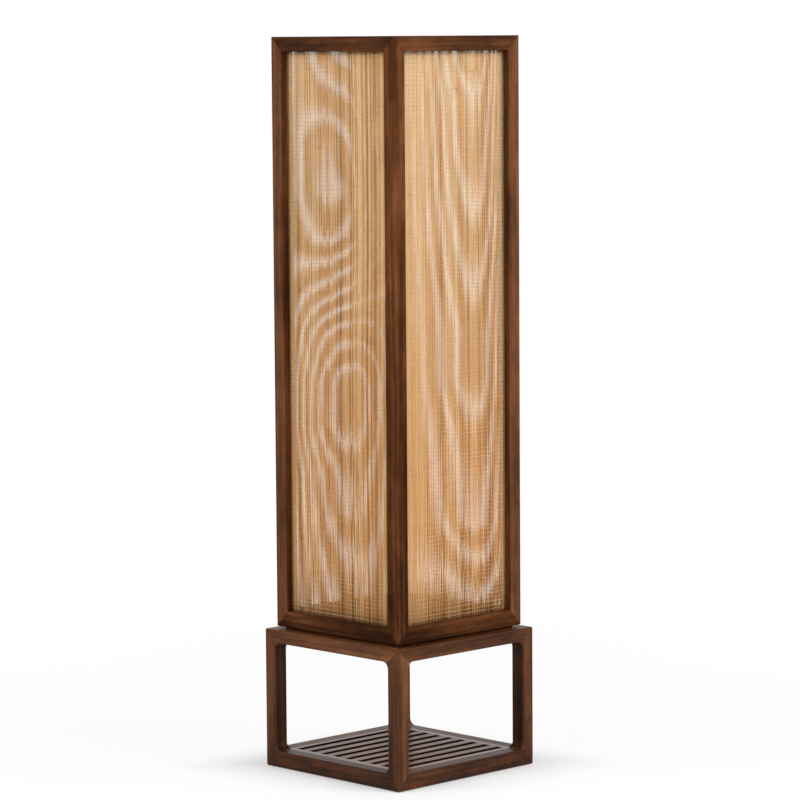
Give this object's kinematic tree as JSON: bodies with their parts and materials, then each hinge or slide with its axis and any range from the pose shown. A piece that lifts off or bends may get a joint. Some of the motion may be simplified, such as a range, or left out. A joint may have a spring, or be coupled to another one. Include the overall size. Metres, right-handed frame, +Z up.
{
  "type": "floor lamp",
  "caption": "Tall square lantern floor lamp: mitred dark wood frame with see-through woven reed panels, lifting off an open cube stand with a slatted shelf.",
  "frame": {"origin": "centre of the footprint, on the floor", "axes": "+Z up; the front is -Y, the right side is +X; the shelf slats run along Y"},
  "size_m": [0.312, 0.312, 1.2],
  "materials": {
    "stand_wood_upright": "dark walnut, satin oil",
    "stand_wood_across": "dark walnut, satin oil",
    "stand_wood_deep": "dark walnut, satin oil",
    "lantern_wood_upright": "dark walnut, satin oil",
    "lantern_wood_across": "dark walnut, satin oil",
    "lantern_wood_deep": "dark walnut, satin oil",
    "shelf_wood_deep": "dark walnut, satin oil",
    "shelf_wood_across": "dark walnut, satin oil",
    "beech": "plain beech",
    "board_wood": "dark stained",
    "batten_wood": "dark stained",
    "reed": "natural reed splints, open weave",
    "screw_steel": "zinc plated",
    "felt": "dark brown felt",
    "plate_steel": "satin black",
    "holder_plastic": "matte black",
    "gland_plastic": "matte black",
    "cap_metal": "bright",
    "frosted_glass": "frosted white"
  },
  "bodies": {
    "stand": {"stand_post_front_left": "stand_wood_upright", "stand_post_front_right": "stand_wood_upright", "stand_post_back_right": "stand_wood_upright", "stand_post_back_left": "stand_wood_upright", "stand_top_rail_front": "stand_wood_across", "stand_bottom_rail_front": "stand_wood_across", "stand_top_rail_right": "stand_wood_deep", "stand_bottom_rail_right": "stand_wood_deep", "stand_top_rail_back": "stand_wood_across", "stand_bottom_rail_back": "stand_wood_across", "stand_top_rail_left": "stand_wood_deep", "stand_bottom_rail_left": "stand_wood_deep", "shelf_rail_front": "shelf_wood_across", "shelf_rail_back": "shelf_wood_across", "shelf_stile_left": "shelf_wood_deep", "shelf_stile_right": "shelf_wood_deep", "shelf_slat_1": "shelf_wood_deep", "shelf_slat_2": "shelf_wood_deep", "shelf_slat_3": "shelf_wood_deep", "shelf_slat_4": "shelf_wood_deep", "shelf_slat_5": "shelf_wood_deep", "shelf_slat_6": "shelf_wood_deep", "shelf_slat_7": "shelf_wood_deep", "shelf_slat_8": "shelf_wood_deep", "shelf_dowels": "beech", "top_board": "board_wood", "ledger_front": "batten_wood", "cleat_front": "batten_wood", "ledger_right": "batten_wood", "cleat_right": "batten_wood", "ledger_back": "batten_wood", "cleat_back": "batten_wood", "ledger_left": "batten_wood", "cleat_left": "batten_wood", "ledger_screws": "screw_steel", "holder_screws": "screw_steel", "felt_pads": "felt", "holder_plate": "plate_steel", "holder_body": "holder_plastic", "holder_ring": "holder_plastic", "cable_gland": "gland_plastic"},
    "lantern": {"lantern_post_front_left": "lantern_wood_upright", "lantern_post_front_right": "lantern_wood_upright", "lantern_post_back_right": "lantern_wood_upright", "lantern_post_back_left": "lantern_wood_upright", "lantern_top_rail_front": "lantern_wood_across", "lantern_bottom_rail_front": "lantern_wood_across", "lantern_top_rail_right": "lantern_wood_deep", "lantern_bottom_rail_right": "lantern_wood_deep", "lantern_top_rail_back": "lantern_wood_across", "lantern_bottom_rail_back": "lantern_wood_across", "lantern_top_rail_left": "lantern_wood_deep", "lantern_bottom_rail_left": "lantern_wood_deep", "reed_panel_front": "reed", "reed_panel_right": "reed", "reed_panel_back": "reed", "reed_panel_left": "reed"},
    "bulb": {"bulb_cap": "cap_metal", "bulb_glass": "frosted_glass"}
  },
  "joints": [
    {"name": "lantern_lift", "type": "slide", "parent": "stand", "child": "lantern", "axis": [0, 0, 1], "range_m": [0, 0.16]},
    {"name": "bulb_turn", "type": "hinge", "parent": "stand", "child": "bulb", "pos_m": [0, 0, 0.2765], "axis": [0, 0, 1], "continuous": true}
  ]
}
